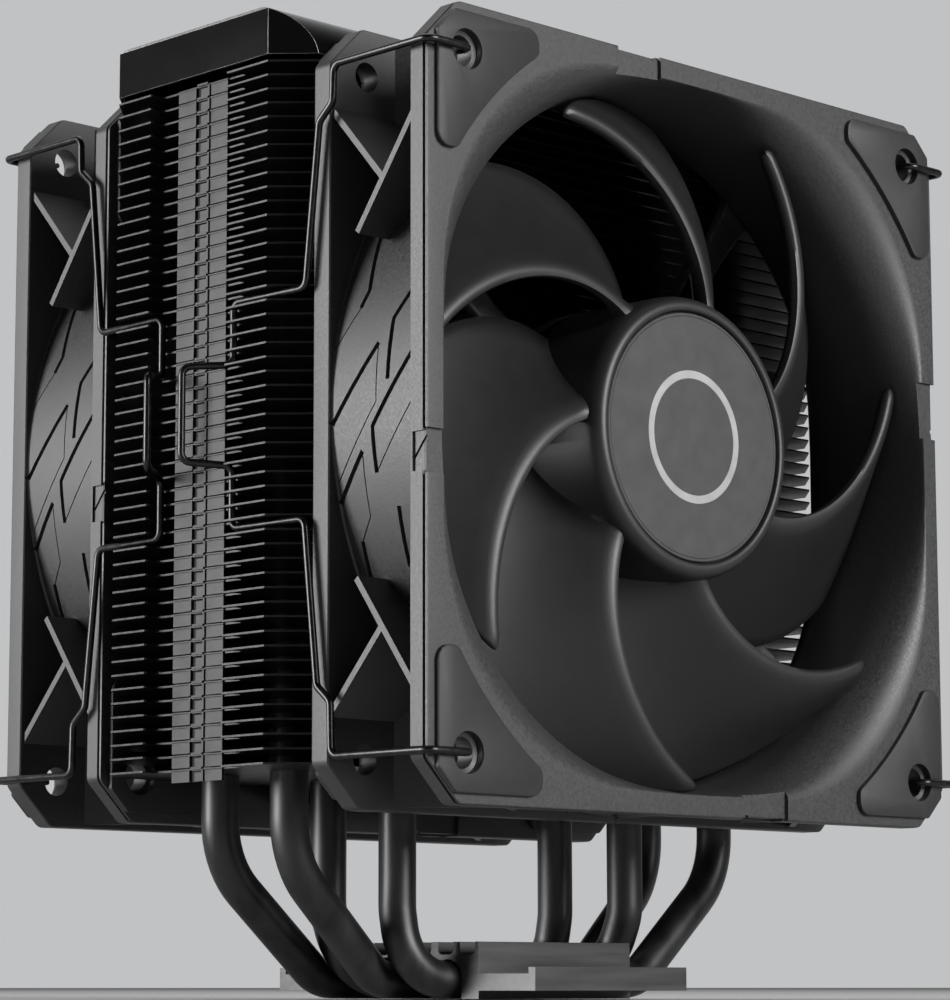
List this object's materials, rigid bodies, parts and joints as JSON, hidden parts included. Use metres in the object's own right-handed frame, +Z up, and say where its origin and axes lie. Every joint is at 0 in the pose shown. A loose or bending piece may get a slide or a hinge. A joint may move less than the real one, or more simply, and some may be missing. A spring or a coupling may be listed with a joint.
{
  "type": "cpu tower cooler",
  "caption": "Tower heatsink for a processor: bent heat pipes carry heat from a base block into a stack of fins between two clipped-on axial fans.",
  "frame": {"origin": "centre of the base's contact face, on the plane of the processor's lid", "axes": "+Z up from the processor, +Y along the air flow with the front fan at -Y, +X to the right seen from the front fan"},
  "size_m": [0.1378, 0.1048, 0.1524],
  "materials": {
    "frame_plastic": "fine matte texture, as moulded",
    "blade_plastic": "satin, with soft highlights on the leading edges",
    "badge_foil": "satin grey disc with a plain pale ring",
    "pad_rubber": "smooth dark grey rubber",
    "fin_black": "black coated thin sheet, bare bright edges",
    "cover_black": "black satin sheet",
    "pipe_black_nickel": "black nickel plating, satin",
    "base_aluminium": "milled, dark plated",
    "spring_wire": "dark drawn spring wire",
    "ground_steel": "ground",
    "bearing_bronze": "sintered bronze",
    "magnet_ferrite": "matte ferrite",
    "winding_copper": "enamelled copper wire on a dark core",
    "board_laminate": "green solder mask"
  },
  "bodies": {
    "cooler": {"base_block": "base_aluminium", "heat_pipe_1": "pipe_black_nickel", "heat_pipe_2": "pipe_black_nickel", "heat_pipe_3": "pipe_black_nickel", "heat_pipe_4": "pipe_black_nickel", "fin_pack_1": "fin_black", "fin_pack_2": "fin_black", "fin_pack_3": "fin_black", "fin_pack_4": "fin_black", "fin_pack_5": "fin_black", "top_cover": "cover_black", "front_fan_frame": "frame_plastic", "front_bearing_sleeve": "bearing_bronze", "front_stator": "winding_copper", "front_circuit_board": "board_laminate", "front_intake_pad_top_left": "pad_rubber", "front_intake_pad_top_right": "pad_rubber", "front_intake_pad_bottom_left": "pad_rubber", "front_intake_pad_bottom_right": "pad_rubber", "front_exhaust_pad_top_left": "pad_rubber", "front_exhaust_pad_top_right": "pad_rubber", "front_exhaust_pad_bottom_left": "pad_rubber", "front_exhaust_pad_bottom_right": "pad_rubber", "rear_fan_frame": "frame_plastic", "rear_bearing_sleeve": "bearing_bronze", "rear_stator": "winding_copper", "rear_circuit_board": "board_laminate", "rear_intake_pad_top_left": "pad_rubber", "rear_intake_pad_top_right": "pad_rubber", "rear_intake_pad_bottom_left": "pad_rubber", "rear_intake_pad_bottom_right": "pad_rubber", "rear_exhaust_pad_top_left": "pad_rubber", "rear_exhaust_pad_top_right": "pad_rubber", "rear_exhaust_pad_bottom_left": "pad_rubber", "rear_exhaust_pad_bottom_right": "pad_rubber"},
    "front_rotor": {"front_impeller": "blade_plastic", "front_hub_badge": "badge_foil", "front_rotor_yoke": "ground_steel", "front_magnet_ring": "magnet_ferrite", "front_shaft": "ground_steel", "front_retainer_ring": "ground_steel"},
    "rear_rotor": {"rear_impeller": "blade_plastic", "rear_hub_badge": "badge_foil", "rear_rotor_yoke": "ground_steel", "rear_magnet_ring": "magnet_ferrite", "rear_shaft": "ground_steel", "rear_retainer_ring": "ground_steel"},
    "front_left_clip_body": {"front_left_clip": "spring_wire"},
    "front_right_clip_body": {"front_right_clip": "spring_wire"},
    "rear_left_clip_body": {"rear_left_clip": "spring_wire"},
    "rear_right_clip_body": {"rear_right_clip": "spring_wire"}
  },
  "joints": [
    {"name": "front_fan_spin", "type": "hinge", "parent": "cooler", "child": "front_rotor", "pos_m": [0, -0.03765, 0.088], "axis": [0, 1, 0], "continuous": true},
    {"name": "rear_fan_spin", "type": "hinge", "parent": "cooler", "child": "rear_rotor", "pos_m": [0, 0.03765, 0.088], "axis": [0, 1, 0], "continuous": true},
    {"name": "front_left_clip_swing", "type": "hinge", "parent": "cooler", "child": "front_left_clip_body", "pos_m": [-0.0525, -0.0504, 0.088], "axis": [0, 0, 1], "range_deg": [0, 35]},
    {"name": "front_right_clip_swing", "type": "hinge", "parent": "cooler", "child": "front_right_clip_body", "pos_m": [0.0525, -0.0504, 0.088], "axis": [0, 0, -1], "range_deg": [0, 35]},
    {"name": "rear_left_clip_swing", "type": "hinge", "parent": "cooler", "child": "rear_left_clip_body", "pos_m": [-0.0525, 0.0504, 0.088], "axis": [0, 0, -1], "range_deg": [0, 35]},
    {"name": "rear_right_clip_swing", "type": "hinge", "parent": "cooler", "child": "rear_right_clip_body", "pos_m": [0.0525, 0.0504, 0.088], "axis": [0, 0, 1], "range_deg": [0, 35]}
  ]
}
